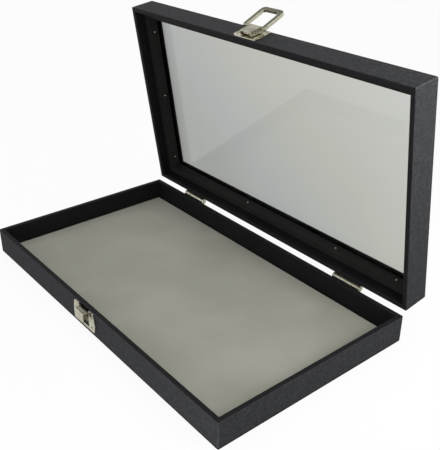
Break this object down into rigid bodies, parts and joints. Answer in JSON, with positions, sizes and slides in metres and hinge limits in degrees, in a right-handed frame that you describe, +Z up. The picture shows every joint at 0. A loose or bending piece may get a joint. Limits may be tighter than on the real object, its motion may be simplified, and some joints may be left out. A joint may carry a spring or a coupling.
{
  "type": "jewelry display case",
  "caption": "Shallow leatherette counter case with a glazed hinged lid, a padded tray and a draw latch on the front, for showing jewelry.",
  "frame": {"origin": "centre of the tray's flat underside, on the surface it stands on", "axes": "+X along the case to the right seen from the latch side, +Y from the latch to the hinges, +Z up"},
  "size_m": [0.3746, 0.2453, 0.2585],
  "materials": {
    "leatherette": "fine grain, satin",
    "lining": "matt",
    "flock": "short pile, matt",
    "glass": "clear, polished",
    "nickel": "nickel plate, bright"
  },
  "bodies": {
    "base": {"base_front_wall": "leatherette", "base_back_wall": "leatherette", "base_left_wall": "leatherette", "base_right_wall": "leatherette", "base_bottom_panel": "leatherette", "display_pad": "flock", "hinge_left_base_leaf": "nickel", "hinge_left_pin": "nickel", "hinge_left_base_tack_1": "nickel", "hinge_left_base_tack_2": "nickel", "hinge_right_base_leaf": "nickel", "hinge_right_pin": "nickel", "hinge_right_base_tack_1": "nickel", "hinge_right_base_tack_2": "nickel", "strike_plate": "nickel", "strike_tack_1": "nickel", "strike_tack_2": "nickel"},
    "lid": {"lid_front_wall": "leatherette", "lid_back_wall": "leatherette", "lid_left_wall": "leatherette", "lid_right_wall": "leatherette", "lid_top_frame": "leatherette", "glass_pane": "glass", "retainer_front": "lining", "retainer_back": "lining", "retainer_left": "lining", "retainer_right": "lining", "brad_front_1": "nickel", "brad_front_2": "nickel", "brad_front_3": "nickel", "brad_back_1": "nickel", "brad_back_2": "nickel", "brad_back_3": "nickel", "brad_left_1": "nickel", "brad_left_2": "nickel", "brad_left_3": "nickel", "brad_right_1": "nickel", "brad_right_2": "nickel", "brad_right_3": "nickel", "hinge_left_lid_leaf": "nickel", "hinge_left_lid_tack_1": "nickel", "hinge_left_lid_tack_2": "nickel", "hinge_right_lid_leaf": "nickel", "hinge_right_lid_tack_1": "nickel", "hinge_right_lid_tack_2": "nickel", "latch_plate": "nickel", "latch_tack_1": "nickel", "latch_tack_2": "nickel", "lever_pin": "nickel"},
    "lever": {"latch_lever": "nickel"},
    "bail": {"latch_bail": "nickel"}
  },
  "joints": [
    {"name": "lid_hinge", "type": "hinge", "parent": "base", "child": "lid", "pos_m": [0, 0.10808, 0.02665], "axis": [-1, 0, 0], "range_deg": [-81.7, 83.3]},
    {"name": "lever", "type": "hinge", "parent": "lid", "child": "lever", "pos_m": [-0.0036, 0.08256, 0.24137], "axis": [1, 0, 0], "range_deg": [0, 95]},
    {"name": "bail", "type": "hinge", "parent": "lever", "child": "bail", "pos_m": [-0.0062, 0.0941, 0.24542], "axis": [-1, 0, 0], "range_deg": [-90, 0]}
  ]
}
